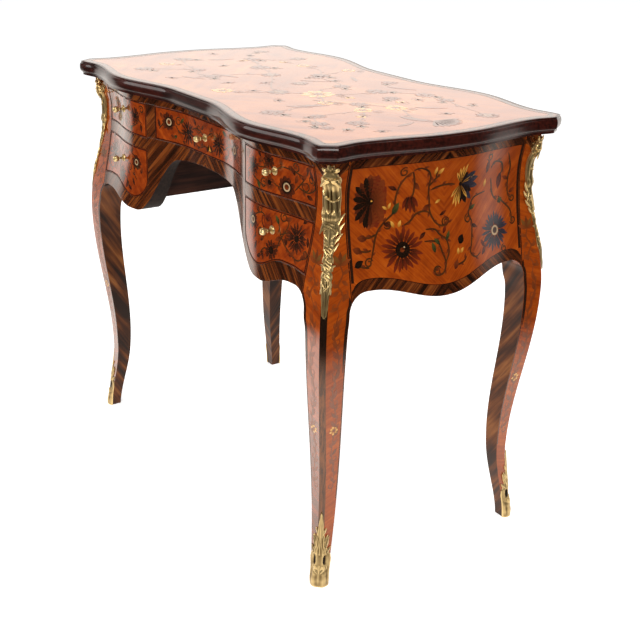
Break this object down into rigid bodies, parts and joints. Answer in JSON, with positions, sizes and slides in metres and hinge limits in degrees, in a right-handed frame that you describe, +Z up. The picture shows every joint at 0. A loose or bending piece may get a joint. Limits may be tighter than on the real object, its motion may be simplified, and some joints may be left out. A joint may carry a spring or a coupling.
{
  "type": "writing desk",
  "caption": "Serpentine, bombe writing desk with an arched kneehole between drawer pedestals, a moulded top with canted corners, S-curved legs, floral marquetry and gilt corner and foot mounts.",
  "frame": {"origin": "on the floor under the middle of the desk", "axes": "X to the right along the desk's length, Y to the back (the drawers slide along -Y), Z up"},
  "size_m": [0.9348, 0.5308, 0.78],
  "materials": {
    "marquetry": "gloss lacquer over floral marquetry on quartered satinwood",
    "rosewood": "gloss lacquer over diagonal-striped banding",
    "mahogany": "gloss dark red-brown",
    "oak": "plain waxed",
    "gilt_bronze": "gilt, bright on the high places"
  },
  "bodies": {
    "desk": {"top_panel": "marquetry", "front_moulding": "mahogany", "back_moulding": "mahogany", "left_moulding": "mahogany", "right_moulding": "mahogany", "front_left_leg": "rosewood", "front_right_leg": "rosewood", "back_left_leg": "rosewood", "back_right_leg": "rosewood", "front_left_chute": "gilt_bronze", "front_right_chute": "gilt_bronze", "back_left_chute": "gilt_bronze", "back_right_chute": "gilt_bronze", "front_left_sabot": "gilt_bronze", "front_right_sabot": "gilt_bronze", "back_left_sabot": "gilt_bronze", "back_right_sabot": "gilt_bronze", "left_side_panel": "marquetry", "right_side_panel": "marquetry", "back_panel": "rosewood", "front_top_rail": "rosewood", "front_stiles": "rosewood", "left_drawer_rail": "rosewood", "right_drawer_rail": "rosewood", "kneehole_arch": "rosewood", "left_apron": "rosewood", "right_apron": "rosewood", "left_cheek": "mahogany", "right_cheek": "mahogany", "kneehole_ceiling": "oak", "left_pedestal_bottom": "oak", "right_pedestal_bottom": "oak", "pedestal_runners": "oak", "centre_runners": "oak"},
    "centre_drawer": {"centre_drawer_front": "marquetry", "centre_drawer_sides": "oak", "centre_drawer_back": "oak", "centre_drawer_bottom": "oak", "centre_drawer_knob": "gilt_bronze"},
    "upper_left_drawer": {"upper_left_drawer_front": "marquetry", "upper_left_drawer_sides": "oak", "upper_left_drawer_back": "oak", "upper_left_drawer_bottom": "oak", "upper_left_drawer_knob": "gilt_bronze"},
    "upper_right_drawer": {"upper_right_drawer_front": "marquetry", "upper_right_drawer_sides": "oak", "upper_right_drawer_back": "oak", "upper_right_drawer_bottom": "oak", "upper_right_drawer_knob": "gilt_bronze"},
    "lower_left_drawer": {"lower_left_drawer_front": "marquetry", "lower_left_drawer_sides": "oak", "lower_left_drawer_back": "oak", "lower_left_drawer_bottom": "oak", "lower_left_drawer_knob": "gilt_bronze"},
    "lower_right_drawer": {"lower_right_drawer_front": "marquetry", "lower_right_drawer_sides": "oak", "lower_right_drawer_back": "oak", "lower_right_drawer_bottom": "oak", "lower_right_drawer_knob": "gilt_bronze"}
  },
  "joints": [
    {"name": "centre_drawer_slide", "type": "slide", "parent": "desk", "child": "centre_drawer", "axis": [0, -1, 0], "range_m": [0, 0.28]},
    {"name": "upper_left_drawer_slide", "type": "slide", "parent": "desk", "child": "upper_left_drawer", "axis": [0, -1, 0], "range_m": [0, 0.28]},
    {"name": "upper_right_drawer_slide", "type": "slide", "parent": "desk", "child": "upper_right_drawer", "axis": [0, -1, 0], "range_m": [0, 0.28]},
    {"name": "lower_left_drawer_slide", "type": "slide", "parent": "desk", "child": "lower_left_drawer", "axis": [0, -1, 0], "range_m": [0, 0.28]},
    {"name": "lower_right_drawer_slide", "type": "slide", "parent": "desk", "child": "lower_right_drawer", "axis": [0, -1, 0], "range_m": [0, 0.28]}
  ]
}
